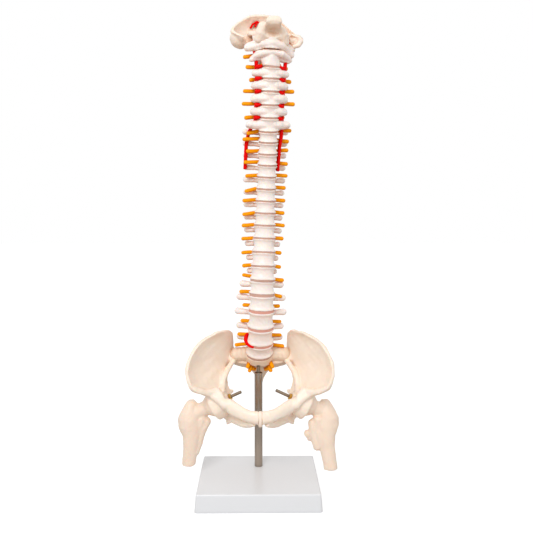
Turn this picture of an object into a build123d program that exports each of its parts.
"""Desk-size model of the human spine with pelvis, femur stumps and occipital plate on a stand.

Millimetres, +Z up, the front of the spine faces -Y. The origin is the middle of the base's underside.
"""

import os
from math import cos, radians, sin

from build123d import *

os.makedirs("parts", exist_ok=True)

# Base and stand
base_width = 118.0
base_depth = 95.0
base_height = 17.0
base_draft = 5.0
base_wall = 2.6
base_corner = 3.0
base_edge = 1.6
rib_width = 2.0
rod_y = 20.0
tube_diameter = 8.0
tube_wall = 1.0
tube_top = 113.7
screw_boss_diameter = 14.0
screw_diameter = 5.0
screw_head_diameter = 9.0
screw_head_height = 3.2
washer_diameter = 12.0
washer_thickness = 1.0
screw_engagement = 12.0
pin_diameter = 3.6
collar_diameter = 6.2
collar_height = 2.4
pin_embed = 7.0
pin_anchor = 12.0
fit_clearance = 0.05
seat_clearance = 0.3

# Column: the line of the discs, seen from the side, and its lean to one side
sacral_plate = (1.0, 19.0, 133.5)
sacral_tilt = 38.0
column_lean = 2.3
column_turn = 12.0
cervical_disc = 1.3
thoracic_disc = 1.4
lumbar_disc = 2.6
disc_inset = 0.35
waist = 0.90
canal_bite = 0.6
plate_wall = 1.7
lamina_wall = 2.9

# Level name, distance between its discs, tilt of the disc above it, width of the body,
# half span of the transverse processes. The first row sits on the sacrum.
levels = [
    ("l5", 15.2, 27, 26.5, 22.0),
    ("l4", 17.9, 18, 26.0, 22.5),
    ("l3", 18.0, 10, 25.5, 24.5),
    ("l2", 15.4, 3, 25.0, 23.0),
    ("l1", 13.7, -2, 24.5, 20.5),
    ("t12", 13.2, -4, 24.0, 14.0),
    ("t11", 13.3, -4, 23.0, 15.0),
    ("t10", 13.2, -2, 22.0, 16.5),
    ("t9", 12.3, 0, 21.0, 17.5),
    ("t8", 11.6, 2, 20.0, 18.0),
    ("t7", 11.5, 4, 19.5, 18.5),
    ("t6", 11.3, 6, 19.0, 19.0),
    ("t5", 11.3, 8, 18.7, 19.5),
    ("t4", 11.2, 11, 18.4, 19.5),
    ("t3", 10.3, 13, 18.2, 20.0),
    ("t2", 11.0, 15, 18.0, 20.5),
    ("t1", 9.7, 16, 18.0, 21.0),
    ("c7", 12.4, 14, 18.0, 20.5),
    ("c6", 11.1, 12, 17.5, 17.0),
    ("c5", 11.7, 10, 17.0, 16.5),
    ("c4", 11.0, 9, 17.0, 16.5),
    ("c3", 10.1, 8, 16.5, 17.0),
]

# Spinal nerves by the disc they leave at: reach from the mid-plane and fall of the tip
# on the right side of the body (-X), then the same on its left side (+X).
nerve_diameter = 3.3
nerve_clearance = 0.35
nerves = [
    ("l5", 25.0, -4.7, 24.8, -3.9),
    ("l4", 22.5, 0.2, 22.2, 0.4),
    ("l3", 19.8, 0.3, 20.9, 0.2),
    ("l2", 18.4, -0.8, 18.6, -0.4),
    ("l1", 21.9, -0.4, 20.5, 3.6),
    ("t12", 19.4, -2.4, 21.5, 1.6),
    ("t11", 19.6, 1.4, 18.5, 1.6),
    ("t10", 20.9, 2.2, 18.4, 1.2),
    ("t9", 21.3, 2.6, 19.9, 0.8),
    ("t8", 21.4, 2.2, 20.6, 0.8),
    ("t7", 21.1, 3.6, 20.0, 0.8),
    ("t6", 21.5, 2.0, 20.0, 0.8),
    ("t5", 19.6, 4.6, 20.2, 0.4),
    ("t4", 19.3, 2.0, 21.7, 0.4),
    ("t3", 21.2, 0.2, 21.6, 1.0),
    ("t2", 19.1, 0.2, 21.5, -1.0),
    ("t1", 23.0, 0.6, 21.7, 2.2),
    ("c8", 19.0, 4.4, 23.2, 1.2),
    ("c7", 21.8, 2.0, 16.2, 0.8),
    ("c6", 24.5, 0.6, 25.4, -0.8),
    ("c5", 23.7, 0.8, 24.4, -0.8),
    ("c4", 18.4, 1.8, 21.4, 2.0),
    ("c3", 22.1, 0.8, 17.3, 0.4),
]

# Cord, its core and the arteries
cord_diameter = 5.0
core_diameter = 2.4
artery_diameter = 2.6
artery_clearance = 0.3

# Pelvis
pelvis_x = 1.6
sacroiliac_half = 26.5
hip_centre = (43.5, -2.0, 88.5)
femur_head_radius = 12.0
socket_wall = 3.4
bolt_direction = (0.87, -0.12, 0.44)
bolt_diameter = 3.0
bolt_anchor = 6.0
bolt_reach = {-1: 28.6, 1: 32.0}
nut_flats = 5.5
nut_thickness = 2.0
left_swing = 10.0
right_swing = 0.0

# Cylinders stand on a point or hang from it
seat_low = (Align.CENTER, Align.CENTER, Align.MIN)
seat_high = (Align.CENTER, Align.CENTER, Align.MAX)


def lean_frame(centre, tilt, turn):
    """A plane square to the column, its x to the body's left and its y to the back."""
    up = Vector(0, 0, 1).rotate(Axis.X, tilt).rotate(Axis.Y, column_lean)
    across = Vector(1, 0, 0).rotate(Axis.Z, turn)
    across = across - up * across.dot(up)
    return Plane(origin=centre, x_dir=across, z_dir=up)


def at(frame, point, across=(1, 0, 0), normal=(0, 0, 1)):
    """A plane at a point of a frame, turned by two directions given in that frame."""
    return Plane(
        origin=frame.from_local_coords(Vector(point)),
        x_dir=frame.from_local_coords(Vector(across)) - frame.origin,
        z_dir=frame.from_local_coords(Vector(normal)) - frame.origin,
    )


def limb(frame, stations, across=(1, 0, 0), normal=(0, 0, 1), ruled=True):
    """A tapering bar through ellipses: each station is a point and two radii."""
    with BuildPart() as bar:
        for point, wide, high in stations:
            with BuildSketch(at(frame, point, across, normal)):
                Ellipse(wide, high)
        loft(ruled=ruled)
    return bar.part


def round_rod(start, end, diameter, tip=True):
    """A straight rod from one point to another, its far end rounded off."""
    along = end - start
    radius = diameter / 2
    with BuildPart() as rod:
        with BuildSketch(Plane(origin=start, z_dir=along)):
            Circle(radius)
        extrude(amount=along.length)
        if tip:
            far_end = rod.faces().sort_by(Axis(start, along))[-1]
            chamfer(far_end.edges(), length=0.55 * radius, length2=0.45 * radius)
    return rod.part


def tube_along(points, radius, diameter):
    """A round bar along straight runs joined by arcs."""
    with BuildPart() as bar:
        with BuildLine() as wire:
            FilletPolyline(*points, radius=radius)
        with BuildSketch(Plane(origin=points[0], z_dir=points[1] - points[0])):
            Circle(diameter / 2)
        sweep(path=wire.line)
    return bar.part


def region(name):
    """The part of the column that a level belongs to."""
    return {"c": "cervical", "t": "thoracic", "l": "lumbar"}[name[0]]


depth_ratio = {"cervical": 0.75, "thoracic": 0.85, "lumbar": 0.72}
canal_radius = {"cervical": 4.4, "thoracic": 4.2, "lumbar": 5.0}
disc_height = {"cervical": cervical_disc, "thoracic": thoracic_disc, "lumbar": lumbar_disc}

# The frames of the discs, from the sacrum up, each with the width of the plates it joins
turn_step = column_turn / len(levels)
disc_frames = [lean_frame(Vector(*sacral_plate), sacral_tilt, 0)]
disc_widths = [levels[0][3]]
disc_heights = [lumbar_disc]
tilt_below = sacral_tilt
for index, (name, rise, tilt, width, span) in enumerate(levels):
    mean_tilt = (tilt_below + tilt) / 2
    step = Vector(0, 0, rise).rotate(Axis.X, mean_tilt).rotate(Axis.Y, column_lean)
    centre = disc_frames[-1].origin + step
    disc_frames.append(lean_frame(centre, tilt, turn_step * (index + 1)))
    above = levels[min(index + 1, len(levels) - 1)]
    disc_widths.append((width + above[3]) / 2)
    disc_heights.append(disc_height[region(above[0])])
    tilt_below = tilt


def body_depth(name, width):
    return width * depth_ratio[region(name)]


def canal_back(name, width):
    """How far the middle of the canal lies behind the middle of the body."""
    return body_depth(name, width) / 2 + canal_radius[region(name)] - canal_bite


level_frames = []
for index, (name, rise, tilt, width, span) in enumerate(levels):
    low, high = disc_frames[index], disc_frames[index + 1]
    up = (high.origin - low.origin).normalized()
    across = low.x_dir + high.x_dir
    across = across - up * across.dot(up)
    level_frames.append(Plane(origin=(low.origin + high.origin) / 2, x_dir=across, z_dir=up))

canal_line = [
    level_frames[index].from_local_coords(Vector(0, canal_back(name, width), 0))
    for index, (name, rise, tilt, width, span) in enumerate(levels)
]


def drum(index):
    """The body of a vertebra: a waisted drum between the plates of its two discs."""
    name, rise, tilt, width, span = levels[index]
    depth = depth_ratio[region(name)]
    low = disc_frames[index].offset(disc_heights[index] / 2)
    high = disc_frames[index + 1].offset(-disc_heights[index + 1] / 2)
    with BuildPart() as body:
        for plane, across in (
            (low, disc_widths[index]),
            (level_frames[index], width * waist),
            (high, disc_widths[index + 1]),
        ):
            with BuildSketch(plane):
                Ellipse(across / 2, across / 2 * depth)
        loft()
    return body.part


def arch(index):
    """The bony ring behind the body: pedicles in front, taller laminae at the back."""
    name, rise, tilt, width, span = levels[index]
    radius = canal_radius[region(name)]
    frame = level_frames[index]
    middle = canal_back(name, width)
    height = rise - disc_height[region(name)]
    outer = radius + plate_wall
    rear = radius + lamina_wall
    with BuildPart() as ring:
        with BuildSketch(at(frame, (0, middle, -0.05 * height))):
            Ellipse(outer, outer)
        extrude(amount=0.40 * height)
        with BuildSketch(at(frame, (0, middle, -0.30 * height))):
            Ellipse(outer, rear)
            with Locations((0, -rear + 0.25 * radius)):
                Rectangle(2 * rear, 2 * rear, mode=Mode.SUBTRACT)
        extrude(amount=0.62 * height)
        for side in (-1, 1):
            pedicle = (side * radius * 1.12, 0.2 * middle, 0.15 * height)
            with BuildSketch(at(frame, pedicle, normal=(0, 1, 0))):
                Ellipse(plate_wall * 0.9, 0.20 * height)
            extrude(amount=0.8 * middle)
    return ring.part


def joint_middle(disc):
    """How far the middle of the canal lies behind the middle of a disc."""
    place = region(levels[min(disc, len(levels) - 1)][0])
    return disc_widths[disc] / 2 * depth_ratio[place] + canal_radius[place] - canal_bite


def joint_process(disc, side, rising):
    """Half of a facet joint, built square to the disc so that the two halves face each other."""
    lower = levels[max(disc - 1, 0)]
    bone = lower if rising else levels[disc]
    place = region(lower[0])
    frame = disc_frames[disc]
    front = joint_middle(disc) + canal_radius[place]
    height = bone[1] - disc_heights[disc]
    lap = 0.13 * height
    thickness = facet_thickness[place]
    seam = front + facet_seam[place]
    offset = (thickness + seat_clearance) / 2
    back = seam - offset if rising else seam + offset
    root = disc_heights[disc] / 2 + 0.34 * height
    start, end = (-root, lap) if rising else (-lap, root)
    out = side * facet_spread[place]
    with BuildPart() as process:
        with BuildSketch(at(frame, (out, back, start))):
            RectangleRounded(facet_width[place], thickness, 0.3 * thickness)
        extrude(amount=end - start)
        if not rising:
            with BuildSketch(at(frame, (out, back - thickness, lap + 0.5))):
                RectangleRounded(facet_width[place], 2 * thickness, 0.3 * thickness)
            extrude(amount=end - lap - 0.5)
    return process.part


def pillar(index, side):
    """The stacked articular column of a neck vertebra, its ends parallel to the next ones."""
    row = levels[index]
    middle = canal_back(row[0], row[3]) + pillar_back
    low = disc_frames[index].offset(seat_clearance / 2)
    high = disc_frames[index + 1].offset(-seat_clearance / 2)
    if region(row[0]) == "thoracic":
        low = high.offset(-0.5 * row[1])
    with BuildPart() as column:
        for plane in (low, high):
            with BuildSketch(at(plane, (side * pillar_spread, middle, 0))):
                Ellipse(pillar_wide, pillar_deep)
        loft()
    return column.part


pillar_back = 2.6
pillar_spread = 7.2
pillar_wide = 2.7
pillar_deep = 2.5
facet_thickness = {"thoracic": 1.7, "lumbar": 2.4}
facet_seam = {"thoracic": 1.2, "lumbar": 1.6}
facet_spread = {"thoracic": 3.6, "lumbar": 5.4}
facet_width = {"thoracic": 3.6, "lumbar": 4.2}


def transverse(index, side):
    """A transverse process, its shape by region."""
    name, rise, tilt, width, span = levels[index]
    frame = level_frames[index]
    middle = canal_back(name, width)
    if region(name) == "cervical":
        stations = [
            ((side * 5.0, 1.8, 0.0), 3.2, 3.6),
            ((side * 9.0, 1.8, 0.1), 3.2, 3.6),
            ((side * (span - 3.0), 2.0, -0.3), 3.3, 3.2),
            ((side * span, 2.4, -0.7), 1.9, 1.7),
        ]
    elif region(name) == "thoracic":
        base = canal_radius["thoracic"] + 0.6
        stations = [
            ((side * base, middle + 1.8, 0.6), 2.2, 2.2),
            ((side * (0.72 * span), middle + 4.2, 1.3), 2.0, 2.0),
            ((side * (span - 1.6), middle + 5.2, 1.6), 2.5, 2.6),
            ((side * span, middle + 5.6, 1.6), 1.5, 1.6),
        ]
    else:
        stations = [
            ((side * 5.6, middle - 2.0, 0.8), 2.4, 2.8),
            ((side * 0.55 * span, middle - 1.2, 0.8), 1.5, 2.6),
            ((side * (span - 1.8), middle + 1.0, 1.0), 1.6, 3.4),
            ((side * span, middle + 1.2, 1.0), 0.9, 2.2),
        ]
    return limb(frame, stations, across=(0, 1, 0), normal=(1, 0, 0))


def spinous(index):
    """The spinous process: short in the neck, slanting in the chest, a broad plate in the loin."""
    name, rise, tilt, width, span = levels[index]
    start = canal_back(name, width) + canal_radius[region(name)]
    number = int(name[1:])
    if region(name) == "cervical":
        length = 9.0 if number < 7 else 16.0
        stations = [
            ((0, start, -0.6), 2.6, 2.6),
            ((0, start + 0.7 * length, -2.4), 1.5, 2.1),
            ((0, start + length, -3.0), 2.6, 1.5),
        ]
    elif region(name) == "thoracic":
        drop = 4.0 + 9.0 * sin(radians(15 * number))
        length = 15.0
        stations = [
            ((0, start, -0.3), 3.0, 2.9),
            ((0, start + 0.5 * length, -0.5 * drop), 1.5, 2.5),
            ((0, start + length, -drop), 1.5, 1.9),
        ]
    else:
        length = 14.0
        stations = [
            ((0, start, -0.2), 3.2, 3.6),
            ((0, start + 0.35 * length, -0.8), 1.6, 4.0),
            ((0, start + length - 1.5, -1.6), 2.0, 4.0),
            ((0, start + length, -1.6), 1.2, 3.2),
        ]
    return limb(level_frames[index], stations, normal=(0, 1, 0))


def canal_cut(index):
    """The space of the spinal canal through one vertebra."""
    name, rise, tilt, width, span = levels[index]
    radius = canal_radius[region(name)]
    with BuildPart() as cut:
        with BuildSketch(at(level_frames[index], (0, canal_back(name, width), -rise))):
            Ellipse(radius, radius)
        extrude(amount=2 * rise)
    return cut.part


def nerve_rods(index, diameter):
    """The pair of nerves that leave at a disc, from the cord outwards."""
    name, reach_right, fall_right, reach_left, fall_left = nerves[index]
    place = region(name)
    frame = disc_frames[index]
    middle = joint_middle(index)
    exit_height = nerve_exit[place]
    rods = []
    for side, reach, fall in ((-1, reach_right, fall_right), (1, reach_left, fall_left)):
        start = frame.from_local_coords(Vector(0, middle, exit_height))
        forward = lowest_forward if index == 0 else nerve_forward
        knee = Vector(side * reach, middle - forward, exit_height - fall)
        rods.append(round_rod(start, frame.from_local_coords(knee), diameter))
    return rods


nerve_exit = {"cervical": 0.2, "thoracic": 1.0, "lumbar": -0.4}
nerve_forward = 2.0
lowest_forward = 7.5


# Corners of the arteries from their free lower ends up: the level, and the place in its frame.
# On the right they hang behind the nerves, on the left in front of them.
artery_corners = {
    -1: [
        ("t4", (-19.2, 13.0, 0.0)),
        ("t2", (-18.6, 13.2, 0.0)),
        ("t1", (-16.8, 13.2, 0.0)),
        ("c7", (-14.6, 9.0, -3.8)),
        ("c7", (-12.4, 2.6, 1.0)),
        ("c6", (-12.2, 2.0, 0.0)),
        ("c4", (-12.2, 2.0, 0.0)),
    ],
    1: [
        ("t4", (10.6, 3.6, 0.0)),
        ("t2", (11.4, 3.4, 0.0)),
        ("t1", (12.6, 3.2, 0.0)),
        ("c6", (12.2, 2.0, 0.0)),
        ("c4", (12.2, 2.0, 0.0)),
    ],
}
artery_bend = 4.0
axis_hole = (13.4, 2.4, 5.4)
atlas_hole = (15.8, 3.4, 16.0)
artery_top = (15.8, 3.8, 22.4)


def artery_route(side):
    """The corners of a vertebral artery, from its free lower end to the skull."""
    places = {row[0]: level_frames[index] for index, row in enumerate(levels)}
    points = [places[name].from_local_coords(Vector(point)) for name, point in artery_corners[side]]
    for out, back, lift in (axis_hole, atlas_hole, artery_top):
        points.append(disc_frames[-1].from_local_coords(Vector(side * out, back, lift)))
    return points


artery_hole = artery_diameter + 2 * artery_clearance
artery_holes = [tube_along(artery_route(side), artery_bend, artery_hole) for side in (-1, 1)]
nerve_hole = nerve_diameter + 2 * nerve_clearance
nerve_holes = [nerve_rods(index, nerve_hole) for index in range(len(nerves))]
artery_reach = ("t4", "t3", "t2", "t1", "c7", "c6", "c5", "c4", "c3")

for index in range(len(levels)):
    name, rise, tilt, width, span = levels[index]
    features = [arch(index), spinous(index)]
    for side in (-1, 1):
        features.append(transverse(index, side))
        if region(name) == "cervical" or name == "t1":
            features.append(pillar(index, side))
        else:
            features.append(joint_process(index + 1, side, rising=True))
        if region(name) != "cervical":
            features.append(joint_process(index, side, rising=False))
    with BuildPart() as vertebra:
        add(drum(index))
        add(features)
        add(canal_cut(index), mode=Mode.SUBTRACT)
        add(nerve_holes[index] + nerve_holes[index + 1], mode=Mode.SUBTRACT)
        if name in artery_reach:
            add(artery_holes, mode=Mode.SUBTRACT)
    vertebra.part.label = name
    export_step(vertebra.part, "parts/" + name + ".step")
    print(name, len(vertebra.part.solids()), round(vertebra.part.volume))


def disc_piece(index, inset):
    """One disc between two plates, a little inside their rims."""
    width = disc_widths[index]
    depth = depth_ratio[region(levels[min(index, len(levels) - 1)][0])]
    low = disc_frames[index].offset(-disc_heights[index] / 2)
    with BuildPart() as disc:
        with BuildSketch(low):
            Ellipse(width / 2 - inset, width / 2 * depth - inset)
        extrude(amount=disc_heights[index])
    return disc.part


def write(name, part):
    """Label a finished piece and write it to its file."""
    part.label = name
    export_step(part, "parts/" + name + ".step")
    print(name, len(part.solids()), round(part.volume))


disc_groups = {
    "disc_l5_s1": [0],
    "disc_l4_l5": [1],
    "disc_l3_l4": [2],
    "disc_l2_l3": [3],
    "disc_l1_l2": [4],
    "thoracic_discs": list(range(5, 17)),
    "cervical_discs": list(range(17, 23)),
}
for name, members in disc_groups.items():
    with BuildPart() as discs:
        add([disc_piece(index, disc_inset) for index in members])
    write(name, discs.part)

# The prolapsed disc between the two lowest lumbar bodies pushes out on the right side of the body
prolapse = [
    ((-13.1, 6.5, -2.6), 1.5, 1.1),
    ((-13.1, 6.5, -1.2), 2.6, 1.9),
    ((-13.3, 6.5, 4.4), 2.7, 2.0),
    ((-13.5, 6.5, 7.0), 1.7, 1.3),
]
write("disc_prolapse", limb(disc_frames[1], prolapse))

# Axis and atlas, on the frame of the highest disc
top = disc_frames[-1]
top_width = disc_widths[-1]
top_canal = top_width * depth_ratio["cervical"] / 2 + canal_radius["cervical"] - canal_bite
neck = at(top, (-1.2, 0, 0))
facet_rise = 14.0
facet_slope = 14.0
facet_out = 9.2
atlas_low = 15.4
atlas_high = 24.8
mass_top = 25.6
atlas_middle = 4.8
axis_nerve_height = 12.0
axis_nerve_tip = (-25.0, 6.0, 7.4)
axis_pillar_height = 9.0


def axis_nerve(diameter):
    """The second nerve on the right side of the body, running out behind the axis."""
    root = top.from_local_coords(Vector(0, top_canal, axis_nerve_height))
    return round_rod(root, top.from_local_coords(Vector(*axis_nerve_tip)), diameter)


def facet_plane(side):
    """The sloping joint between the axis and the atlas on one side."""
    slope = radians(facet_slope)
    return at(neck, (side * facet_out, 1.6, facet_rise), normal=(side * sin(slope), 0, cos(slope)))


with BuildPart() as axis_bone:
    for lift, wide, deep in ((cervical_disc / 2, top_width / 2, 6.2), (6.0, 8.6, 5.6), (14.0, 6.4, 4.6)):
        with BuildSketch(at(neck if lift > 1 else top, (0, 0, lift))):
            Ellipse(wide, deep)
    loft(ruled=True)
    add(limb(neck, [((0, -4.2, 1.2), 6.6, 2.2), ((0, -4.4, 8.0), 3.2, 2.2), ((0, -3.8, 14.2), 1.0, 1.0)]))
    add(limb(neck, [((0, -0.4, 12.0), 3.3, 3.2), ((0, -0.4, 21.6), 3.2, 3.0), ((0, -0.2, 23.6), 1.4, 1.2)]))
    with BuildSketch(at(top, (0, top_canal, 2.4))):
        Ellipse(canal_radius["cervical"] + plate_wall, canal_radius["cervical"] + lamina_wall)
    extrude(amount=9.6)
    add(
        limb(
            top,
            [
                ((0, top_canal + 4.6, 6.4), 3.4, 3.4),
                ((0, top_canal + 10.0, 4.6), 2.2, 3.2),
                ((0, top_canal + 14.5, 3.2), 3.8, 2.0),
            ],
            normal=(0, 1, 0),
        )
    )
    for side in (-1, 1):
        with BuildSketch(facet_plane(side)):
            Ellipse(5.0, 5.2)
        extrude(amount=-5.6)
        add(
            limb(
                neck,
                [
                    ((side * 6.0, 2.0, 8.8), 3.4, 3.8),
                    ((side * 12.6, 2.4, 7.4), 3.2, 3.2),
                    ((side * 17.0, 2.6, 5.8), 2.6, 2.3),
                    ((side * 18.8, 2.6, 5.2), 1.5, 1.3),
                ],
                across=(0, 1, 0),
                normal=(1, 0, 0),
            )
        )
        pillar_middle = canal_back("c3", levels[-1][3]) + pillar_back
        with BuildSketch(at(top, (side * pillar_spread, pillar_middle, seat_clearance / 2))):
            Ellipse(pillar_wide, pillar_deep)
        extrude(amount=axis_pillar_height)
    with BuildSketch(at(top, (0, top_canal, -2.0))):
        Ellipse(canal_radius["cervical"], canal_radius["cervical"])
    extrude(amount=18.0, mode=Mode.SUBTRACT)
    add(nerve_holes[-1] + artery_holes + [axis_nerve(nerve_hole)], mode=Mode.SUBTRACT)
write("c2_axis", axis_bone.part)

with BuildPart() as atlas:
    with BuildSketch(at(neck, (0, atlas_middle, atlas_low))):
        Ellipse(13.0, 12.2)
        Ellipse(8.2, 9.6, mode=Mode.SUBTRACT)
    extrude(amount=atlas_high - atlas_low)
    with BuildSketch(at(neck, (0, 20.0, atlas_low - 1.0))):
        Rectangle(20.0, 20.0)
    extrude(amount=4.2, mode=Mode.SUBTRACT)
    for side in (-1, 1):
        with BuildSketch(facet_plane(side).offset(seat_clearance)):
            Ellipse(4.8, 5.2)
        extrude(amount=14.0)
        add(
            limb(
                neck,
                [
                    ((side * 10.0, 3.4, 19.2), 3.6, 3.4),
                    ((side * 16.0, 3.4, 18.2), 3.8, 3.4),
                    ((side * 20.6, 3.4, 16.8), 3.4, 3.0),
                    ((side * 23.0, 3.4, 16.0), 1.9, 1.6),
                ],
                across=(0, 1, 0),
                normal=(1, 0, 0),
            )
        )
    split(bisect_by=at(neck, (0, 0, mass_top)), keep=Keep.BOTTOM)
    add(artery_holes, mode=Mode.SUBTRACT)
write("c1_atlas", atlas.part)

# Occipital plate: a cupped shell, steeply tilted, with a floor round the foramen, the basilar
# part and a rounded lobe on each side, the left one of the body hollowed from the front
skull_centre = (9.5, -13.0, 439.3)
skull_tilt = 44.0
skull_half_width = 34.5
skull_half_length = 24.5
skull_depth = 19.5
skull_wall = 3.0
skull_turn = 10.0
atlas_clear_half = 23.8
atlas_clear_back = 8.6
atlas_clear_depth = 26.0
foramen_half = 8.0
foramen_back = 8.2
lobes = [((-15.6, -14.0, 430.8), (10.0, 9.6, 10.0)), ((33.4, -14.0, 430.8), (8.4, 9.0, 8.8))]
lobe_hollow = ((31.0, -19.4, 429.4), (5.4, 7.4, 5.6))
skull_artery_diameter = 1.8
skull_artery_bend = 1.4
skull_artery_line = [(-7.1, 0.0, 442.6), (-4.8, 0.8, 446.4), (-1.1, 1.5, 448.9), (2.9, 3.3, 447.2)]
skull_artery_branch = [(-0.9, 1.9, 448.2), (-2.8, 1.7, 443.9)]


def skull_frame():
    """The rim plane of the occipital cup."""
    up = Vector(0, 0, 1).rotate(Axis.X, skull_tilt).rotate(Axis.Z, skull_turn)
    across = Vector(1, 0, 0).rotate(Axis.Z, skull_turn)
    return Plane(origin=skull_centre, x_dir=across, z_dir=up)


def cup(shrink, top_angle):
    """An ellipsoid up to an angle above the rim plane, smaller all round by the given amount."""
    wide = skull_half_width - shrink
    ball = Solid.make_sphere(wide, angle1=-90, angle2=top_angle)
    flat = scale(ball, by=(1, (skull_half_length - shrink) / wide, (skull_depth - shrink) / wide))
    return skull_frame().location * flat


def egg(centre, radii):
    """A whole ellipsoid at a place."""
    ball = Solid.make_sphere(radii[0])
    return Location(centre) * scale(ball, by=(1, radii[1] / radii[0], radii[2] / radii[0]))


outer_cup = cup(0, 0)
inner_cup = cup(skull_wall, 90)
outer_lobes = [egg(centre, radii) for centre, radii in lobes]
inner_lobe = egg(*lobe_hollow)
with BuildPart() as occiput:
    add(outer_cup)
    add(outer_lobes)
    add(inner_cup, mode=Mode.SUBTRACT)
    add(inner_lobe, mode=Mode.SUBTRACT)
    with BuildSketch(at(neck, (0, 8.5, 17.0))):
        Ellipse(20.0, 13.0)
    extrude(amount=12.4)
    add(
        limb(
            neck,
            [
                ((0, 0.5, 28.8), 9.0, 3.2),
                ((-0.4, -4.0, 31.0), 7.4, 3.6),
                ((-1.6, -15.0, 37.2), 6.9, 4.0),
                ((-1.7, -16.4, 38.0), 5.6, 2.8),
            ],
            normal=(0, -0.87, 0.5),
        )
    )
    with BuildSketch(at(neck, (0, atlas_middle, 8.0))):
        Ellipse(14.2, 13.6)
        with Locations((0, atlas_clear_back - atlas_middle)):
            Rectangle(2 * atlas_clear_half, atlas_clear_depth, align=(Align.CENTER, Align.MAX))
    extrude(amount=mass_top - 8.0 + seat_clearance, mode=Mode.SUBTRACT)
    with BuildSketch(at(neck, (0, foramen_back, 8.0))):
        Ellipse(foramen_half, foramen_half)
    extrude(amount=32.0, mode=Mode.SUBTRACT)
    add(artery_holes, mode=Mode.SUBTRACT)
write("occiput", occiput.part)

skull_artery_points = [Vector(point) for point in skull_artery_line]
branch_start, branch_end = [Vector(point) for point in skull_artery_branch]
with BuildPart() as skull_artery:
    add(tube_along(skull_artery_points, skull_artery_bend, skull_artery_diameter))
    add(round_rod(branch_start, branch_end, skull_artery_diameter))
write("skull_artery", skull_artery.part)


# Sacrum and coccyx: sections along the sacral curve, each with its slope below the level
sacrum_sections = [
    ((26.0, 128.0), 40.0, 32.0, 8.6),
    ((36.0, 121.0), 34.0, 30.0, 7.4),
    ((47.0, 114.0), 42.0, 16.0, 5.6),
    ((56.0, 105.0), 60.0, 8.0, 4.2),
    ((59.0, 98.5), 74.0, 4.6, 3.0),
]
coccyx_sections = [
    ((59.2, 98.2), 76.0, 4.2, 2.6),
    ((59.8, 92.0), 94.0, 2.8, 2.2),
    ((57.4, 86.0), 112.0, 1.5, 1.3),
]
sacral_drum = 9.0
collar_seat = 122.7
sacral_nerves = [
    ((8.5, 25.5, 127.0), (13.0, 17.5, 118.5)),
    ((7.0, 29.5, 126.0), (11.0, 20.5, 113.5)),
    ((6.0, 33.0, 123.0), (8.2, 24.6, 114.5)),
    ((4.8, 37.0, 120.5), (5.8, 29.0, 113.0)),
]


def bend(sections):
    """A solid through ellipses that follow the sacral curve."""
    with BuildPart() as solid:
        for (back, height), slope, wide, thick in sections:
            along = Vector(0, cos(radians(slope)), -sin(radians(slope)))
            with BuildSketch(Plane(origin=(pelvis_x, back, height), x_dir=(1, 0, 0), z_dir=along)):
                Ellipse(wide, thick)
        loft()
    return solid.part


def sacral_rods(diameter):
    """The stubs that leave the front of the sacrum, four on each side."""
    rods = []
    for root, tip in sacral_nerves:
        for side in (-1, 1):
            start = Vector(pelvis_x + side * root[0], root[1], root[2])
            rods.append(round_rod(start, Vector(pelvis_x + side * tip[0], tip[1], tip[2]), diameter))
    return rods


sacrum_bend = bend(sacrum_sections)
foramina = sacral_rods(nerve_diameter + 2 * nerve_clearance)
sacral_facets = [joint_process(0, side, rising=True) for side in (-1, 1)]
sacral_canal_radius = 4.0
with BuildPart() as sacrum:
    add(sacrum_bend)
    with BuildSketch(disc_frames[0].offset(-lumbar_disc / 2)):
        Ellipse(disc_widths[0] / 2, disc_widths[0] / 2 * depth_ratio["lumbar"])
    extrude(amount=-sacral_drum)
    with BuildSketch(at(disc_frames[0], (0, joint_middle(0), -9.0))):
        Ellipse(canal_radius["lumbar"] + 2.6, canal_radius["lumbar"] + 3.4)
    extrude(amount=6.5)
    add(sacral_facets)
    with BuildSketch(disc_frames[0].offset(-lumbar_disc / 2)):
        Rectangle(30, 60)
    extrude(amount=20, mode=Mode.SUBTRACT)
    add(sacral_facets)
    with BuildSketch(at(disc_frames[0], (0, joint_middle(0), -14.0))):
        Ellipse(sacral_canal_radius, sacral_canal_radius)
    extrude(amount=30, mode=Mode.SUBTRACT)
    add(foramina, mode=Mode.SUBTRACT)
    with Locations((0, rod_y, collar_seat)):
        Cylinder(collar_diameter / 2 + seat_clearance, 20, align=seat_high, mode=Mode.SUBTRACT)
        Cylinder(pin_diameter / 2 + fit_clearance, pin_embed, align=seat_low, mode=Mode.SUBTRACT)
    for side in (-1, 1):
        reach = sacroiliac_half - seat_clearance / 2
        face = Plane(origin=(pelvis_x + side * reach, 0, 0), z_dir=(side, 0, 0))
        split(bisect_by=face, keep=Keep.BOTTOM)
write("sacrum", sacrum.part)
write("coccyx", bend(coccyx_sections))

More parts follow.
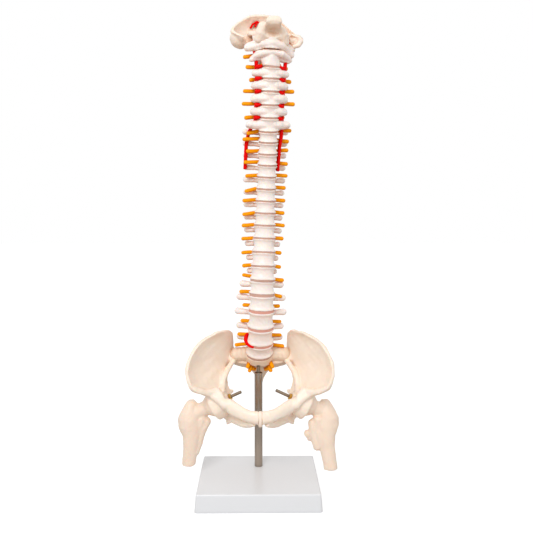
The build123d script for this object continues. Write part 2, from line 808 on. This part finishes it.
# Hip bone, drawn for the body's left side (+X) and mirrored for the other
wing_sections = [
    (159.5, [(32.0, 9.0), (35.0, 4.5), (38.5, 0.5), (42.0, -4.0)], 4.4),
    (154.0, [(29.0, 19.0), (34.0, 10.5), (42.5, 1.5), (53.0, -9.0)], 4.2),
    (147.0, [(28.6, 27.0), (33.5, 14.5), (45.0, 2.5), (61.0, -17.0)], 3.6),
    (138.0, [(29.4, 33.0), (34.0, 17.0), (46.5, 3.0), (66.0, -23.5)], 3.2),
    (128.0, [(30.0, 35.0), (34.5, 18.5), (46.0, 4.5), (68.2, -28.0)], 3.0),
    (118.0, [(32.0, 30.0), (36.5, 15.5), (45.0, 3.5), (66.4, -30.5)], 3.4),
    (109.5, [(35.0, 18.0), (38.6, 8.0), (45.0, -2.0), (62.5, -29.5)], 4.6),
    (102.0, [(35.6, 12.0), (38.6, 5.0), (43.5, -3.5), (53.0, -19.0)], 8.0),
    (95.0, [(34.0, 11.0), (38.0, 4.0), (43.5, -4.0), (49.5, -13.5)], 10.0),
]
wing_back_wall = 1.5
ischium_sections = [
    ((38.0, 6.0, 86.0), 8.0, 9.0),
    ((34.0, 10.5, 76.0), 7.0, 8.0),
    ((29.0, 12.0, 69.0), 6.2, 7.0),
    ((26.0, 10.0, 64.5), 4.6, 5.6),
    ((25.0, 9.0, 62.6), 2.6, 3.4),
]
spine_sections = [((33.0, 11.0, 95.0), 4.0, 4.0), ((26.5, 14.5, 97.0), 1.2, 1.5)]
upper_ramus = [
    ((36.0, -12.0, 94.6), 6.5, 6.6),
    ((25.5, -20.0, 89.6), 4.6, 7.0),
    ((15.0, -27.5, 85.6), 3.8, 6.8),
    ((7.0, -31.6, 83.8), 3.8, 7.2),
]
lower_ramus = [
    ((29.0, 7.0, 69.0), 6.0, 6.4),
    ((19.5, -8.0, 68.2), 4.4, 6.0),
    ((11.0, -21.0, 71.6), 3.4, 5.6),
    ((6.4, -28.5, 76.4), 2.8, 5.0),
]
auricular_middle = (30.0, 128.0)
auricular_radii = (10.0, 9.0)
pubis_middle = (-32.0, 83.0)
pubis_radii = (4.4, 8.0)
symphysis_thickness = 3.0
socket_rim = -2.0
nut_seat = 15.2


def wing_slice(height, line, thickness):
    """A level slice through the wing: a curved strip, thicker at both ends."""
    walls = (thickness * wing_back_wall, thickness, thickness, thickness * 1.3)
    inner, outer = [], []
    for place, (x, y) in enumerate(line):
        before, after = line[max(place - 1, 0)], line[min(place + 1, len(line) - 1)]
        run = Vector(after[0] - before[0], after[1] - before[1]).normalized()
        aside = Vector(-run.Y, run.X) * (walls[place] / 2)
        inner.append((pelvis_x + x - aside.X, y - aside.Y))
        outer.append((pelvis_x + x + aside.X, y + aside.Y))
    with BuildSketch(Plane.XY.offset(height)) as strip:
        with BuildLine():
            Spline(*inner)
            Line(inner[-1], outer[-1])
            Spline(*outer[::-1])
            Line(outer[0], inner[0])
        make_face()
    return strip.sketch


def hip_axis(side):
    """The line of the bolt, from the middle of the femur's head towards the inside of the pelvis."""
    centre = Vector(pelvis_x + side * hip_centre[0], hip_centre[1], hip_centre[2])
    return Axis(centre, Vector(-side * bolt_direction[0], bolt_direction[1], bolt_direction[2]))


def path_limb(stations, side=1):
    """A bar through ellipses square to its run."""
    points = [Vector(pelvis_x + side * x, y, z) for (x, y, z), wide, high in stations]
    with BuildPart() as bar:
        for place, (point, wide, high) in enumerate(stations):
            run = points[min(place + 1, len(points) - 1)] - points[max(place - 1, 0)]
            level = run.cross(Vector(0, 0, 1))
            with BuildSketch(Plane(origin=points[place], x_dir=level, z_dir=run)):
                Ellipse(wide, high)
        loft()
    return bar.part


hip_line = hip_axis(1)
hip_middle = hip_line.position
hip_plane = Plane(origin=hip_middle, z_dir=hip_line.direction)
socket_radius = femur_head_radius + seat_clearance
slices = [wing_slice(*row) for row in wing_sections]
pubic_bars = [path_limb(rows) for rows in (upper_ramus, lower_ramus, spine_sections)]
pelvis_plane = Plane(origin=(pelvis_x, 0, 0), x_dir=(0, 1, 0), z_dir=(1, 0, 0))
with BuildPart() as hip:
    loft(slices)
    for (x, y, z), wide, deep in ischium_sections:
        with BuildSketch(Plane.XY.offset(z)):
            with Locations((pelvis_x + x, y)):
                Ellipse(wide, deep)
    loft()
    with Locations(hip_middle):
        Sphere(socket_radius + socket_wall)
    with BuildSketch(pelvis_plane.offset(sacroiliac_half + seat_clearance / 2)):
        with Locations(auricular_middle):
            Ellipse(*auricular_radii)
    extrude(amount=9.0)
    inside = pelvis_plane.offset(sacroiliac_half + seat_clearance / 2)
    split(bisect_by=inside, keep=Keep.TOP)
    add(pubic_bars)
    with BuildSketch(pelvis_plane.offset(symphysis_thickness / 2)):
        with Locations(pubis_middle):
            Ellipse(*pubis_radii)
    with BuildSketch(pelvis_plane.offset(9.0)):
        with Locations((pubis_middle[0] + 1.5, pubis_middle[1] + 1.0)):
            Ellipse(pubis_radii[0] - 0.6, pubis_radii[1] - 1.4)
    loft()
    with BuildSketch(hip_plane.offset(socket_rim)):
        Circle(socket_radius + socket_wall + 1)
    extrude(amount=-14, mode=Mode.SUBTRACT)
    with Locations(hip_middle):
        Sphere(socket_radius, mode=Mode.SUBTRACT)
    with BuildSketch(hip_plane):
        Circle(bolt_diameter / 2 + fit_clearance)
    extrude(amount=30, mode=Mode.SUBTRACT)
    with BuildSketch(hip_plane.offset(nut_seat)):
        Circle(nut_flats * 0.75)
    extrude(amount=14, mode=Mode.SUBTRACT)
write("hip_bone_left", hip.part)
write("hip_bone_right", mirror(hip.part, about=pelvis_plane, mode=Mode.PRIVATE))

with BuildPart() as symphysis:
    with BuildSketch(pelvis_plane.offset(-symphysis_thickness / 2)):
        with Locations(pubis_middle):
            Ellipse(pubis_radii[0] - disc_inset, pubis_radii[1] - disc_inset)
    extrude(amount=symphysis_thickness)
write("pubic_symphysis", symphysis.part)

# Femur stump, drawn for the body's left side and swung about its bolt
shaft_sections = [
    ((68.6, -3.0, 37.0), 6.9, 6.4),
    ((67.2, -3.0, 47.0), 7.7, 6.8),
    ((66.8, -3.0, 57.0), 8.8, 7.4),
    ((68.6, -2.5, 66.0), 10.9, 8.4),
    ((69.2, -2.0, 74.0), 10.7, 8.6),
    ((68.6, -1.4, 80.0), 8.8, 7.6),
    ((68.0, -0.8, 85.0), 6.6, 6.2),
    ((67.2, 0.0, 89.5), 4.9, 5.0),
    ((66.8, 0.4, 91.6), 3.0, 3.4),
]
shaft_cut = {-1: ((69.9, -3.0, 28.0), 6.5, 6.2), 1: ((70.2, -3.0, 24.5), 6.6, 6.2)}
shaft_shift = {-1: 0.0, 1: -3.6}
neck_sections = [(-2.0, 9.5), (-10.0, 7.4), (-16.0, 7.6), (-24.0, 8.6)]
lesser_trochanter = {
    -1: [((61.0, -1.0, 58.0), 5.2, 5.0), ((58.0, 2.0, 57.0), 4.2, 4.4), ((56.0, 3.4, 56.6), 2.0, 2.2)],
    1: [((59.0, -1.0, 58.0), 5.4, 5.2), ((52.0, 1.0, 55.6), 4.2, 4.4), ((48.6, 1.5, 54.4), 2.4, 2.6)],
}


def femur_solid(side):
    """The upper end of a femur with its sawn shaft, drawn on the +X side."""
    shift = shaft_shift[side]
    knob = path_limb([((x + shift, y, z), wide, deep) for (x, y, z), wide, deep in lesser_trochanter[side]])
    with BuildPart() as femur:
        for (x, y, z), wide, deep in [shaft_cut[side]] + shaft_sections:
            with BuildSketch(Plane.XY.offset(z)):
                with Locations((pelvis_x + x + shift, y)):
                    Ellipse(wide, deep)
        loft(ruled=True)
        for reach, radius in neck_sections:
            with BuildSketch(hip_plane.offset(reach)):
                Circle(radius)
        loft()
        with Locations(hip_middle):
            Sphere(femur_head_radius)
        add(knob)
        with BuildSketch(hip_plane.offset(-bolt_anchor)):
            Circle(bolt_diameter / 2 + fit_clearance)
        extrude(amount=2 * femur_head_radius, mode=Mode.SUBTRACT)
    return femur.part


for side, swing, word in ((1, left_swing, "left"), (-1, right_swing, "right")):
    bone = femur_solid(side)
    if side < 0:
        bone = mirror(bone, about=pelvis_plane, mode=Mode.PRIVATE)
    line = hip_axis(side)
    write("femur_" + word, bone.rotate(line, side * swing))
    square = Plane(origin=line.position, z_dir=line.direction)
    with BuildPart() as bolt:
        with BuildSketch(square.offset(-bolt_anchor)):
            Circle(bolt_diameter / 2)
        extrude(amount=bolt_anchor + bolt_reach[side])
        chamfer(bolt.faces().sort_by(Axis(line.position, line.direction))[-1].edges(), 0.4)
    write("femur_bolt_" + word, bolt.part)
    with BuildPart() as nut:
        with BuildSketch(square.offset(nut_seat + seat_clearance)):
            RegularPolygon(nut_flats / 2, 6, major_radius=False)
            Circle(bolt_diameter / 2 + fit_clearance, mode=Mode.SUBTRACT)
        extrude(amount=nut_thickness)
    write("femur_nut_" + word, nut.part)

# Base, hollow from below, with ribs down to the table and a boss for the screw
boss_face = base_height - base_wall - 6.0
screw_hole_gap = 0.1
with BuildPart() as base:
    with BuildSketch():
        RectangleRounded(base_width, base_depth, base_corner)
    extrude(amount=base_height, taper=base_draft)
    fillet(base.faces().sort_by(Axis.Z)[-1].edges(), base_edge)
    with BuildSketch():
        RectangleRounded(base_width - 2 * base_wall, base_depth - 2 * base_wall, 1.0)
    extrude(amount=base_height - base_wall, taper=base_draft, mode=Mode.SUBTRACT)
    with BuildSketch():
        Rectangle(base_width - 2 * base_wall, rib_width)
        with Locations((0, (base_depth - base_wall) / 4)):
            Rectangle(rib_width, (base_depth - base_wall) / 2)
    extrude(amount=base_height - base_wall)
    with Locations((0, rod_y, boss_face)):
        Cylinder(screw_boss_diameter / 2, base_height - boss_face - 1.0, align=seat_low)
        Cylinder(screw_boss_diameter / 2 + 1.5, boss_face, align=seat_high, mode=Mode.SUBTRACT)
        Cylinder(screw_diameter / 2 + screw_hole_gap, base_height, align=seat_low, mode=Mode.SUBTRACT)
write("base", base.part)

with BuildPart() as washer:
    with Locations((0, rod_y, boss_face)):
        Cylinder(washer_diameter / 2, washer_thickness, align=seat_high)
        Cylinder(screw_diameter / 2 + screw_hole_gap, washer_thickness, align=seat_high, mode=Mode.SUBTRACT)
write("base_washer", washer.part)

with BuildPart() as screw:
    with Locations((0, rod_y, boss_face - washer_thickness)):
        Cylinder(screw_head_diameter / 2, screw_head_height, align=seat_high)
        Cylinder(
            screw_diameter / 2,
            base_height - boss_face + washer_thickness + screw_engagement - 1.0,
            align=seat_low,
        )
    chamfer(screw.faces().sort_by(Axis.Z)[0].edges(), 0.6)
write("base_screw", screw.part)

tube_bore = tube_diameter / 2 - tube_wall
with BuildPart() as tube:
    with Locations((0, rod_y, base_height)):
        Cylinder(tube_diameter / 2, tube_top - base_height, align=seat_low)
        Cylinder(screw_diameter / 2 + fit_clearance, screw_engagement, align=seat_low, mode=Mode.SUBTRACT)
    with Locations((0, rod_y, tube_top)):
        Cylinder(tube_bore, tube_top - base_height - screw_engagement, align=seat_high, mode=Mode.SUBTRACT)
    chamfer(tube.edges().filter_by(GeomType.CIRCLE).group_by(Axis.Z)[-1], 0.3)
write("stand_tube", tube.part)

collar_low = collar_seat - seat_clearance - collar_height
with BuildPart() as pin:
    with BuildSketch(Plane.XZ.offset(-rod_y)):
        with BuildLine():
            Polyline(
                (0, tube_top - pin_anchor),
                (tube_bore - fit_clearance, tube_top - pin_anchor),
                (tube_bore - fit_clearance, tube_top - 1.0),
                (pin_diameter / 2, tube_top - 0.2),
                (pin_diameter / 2, collar_low),
                (collar_diameter / 2, collar_low + 0.7 * collar_height),
                (collar_diameter / 2, collar_low + collar_height),
                (pin_diameter / 2, collar_low + collar_height),
                (pin_diameter / 2, collar_seat + pin_embed - 1.0),
                (0, collar_seat + pin_embed - 1.0),
                close=True,
            )
        make_face()
    revolve(axis=Axis((0, rod_y, 0), (0, 0, 1)))
write("stand_pin", pin.part)

# Cord and its core follow the canal; the arteries follow the necks of the vertebrae
route_levels = ("l5", "l3", "l1", "t11", "t9", "t7", "t5", "t3", "t1", "c6", "c4")
route = [disc_frames[0].from_local_coords(Vector(0, joint_middle(0), -9.0))]
route += [canal_line[place] for place, row in enumerate(levels) if row[0] in route_levels]
route.append(top.from_local_coords(Vector(0, top_canal, 8.0)))
route.append(top.from_local_coords(Vector(0, top_canal + 0.2, 33.0)))
route_radius = 60.0


cord_solid = tube_along(route, route_radius, cord_diameter)
core_bore = tube_along(route, route_radius, core_diameter + 2 * fit_clearance)
core_solid = tube_along(route, route_radius, core_diameter)
with BuildPart() as cord:
    add(cord_solid)
    add(core_bore, mode=Mode.SUBTRACT)
write("spinal_cord", cord.part)
write("flexible_core", core_solid)

cord_clear = tube_along(route, route_radius, cord_diameter + 2 * seat_clearance)
nerve_groups = {
    "lumbar_nerves": range(0, 5),
    "thoracic_nerves": range(5, 17),
    "cervical_nerves": range(17, 23),
}
for name, members in nerve_groups.items():
    rods = [rod for place in members for rod in nerve_rods(place, nerve_diameter)]
    if name == "cervical_nerves":
        rods.append(axis_nerve(nerve_diameter))
    with BuildPart() as group:
        add(rods)
        add(cord_clear, mode=Mode.SUBTRACT)
    write(name, group.part)
stubs = sacral_rods(nerve_diameter)
with BuildPart() as sacral_group:
    add(stubs)
write("sacral_nerves", sacral_group.part)

for side, word in ((1, "left"), (-1, "right")):
    write("vertebral_artery_" + word, tube_along(artery_route(side), artery_bend, artery_diameter))
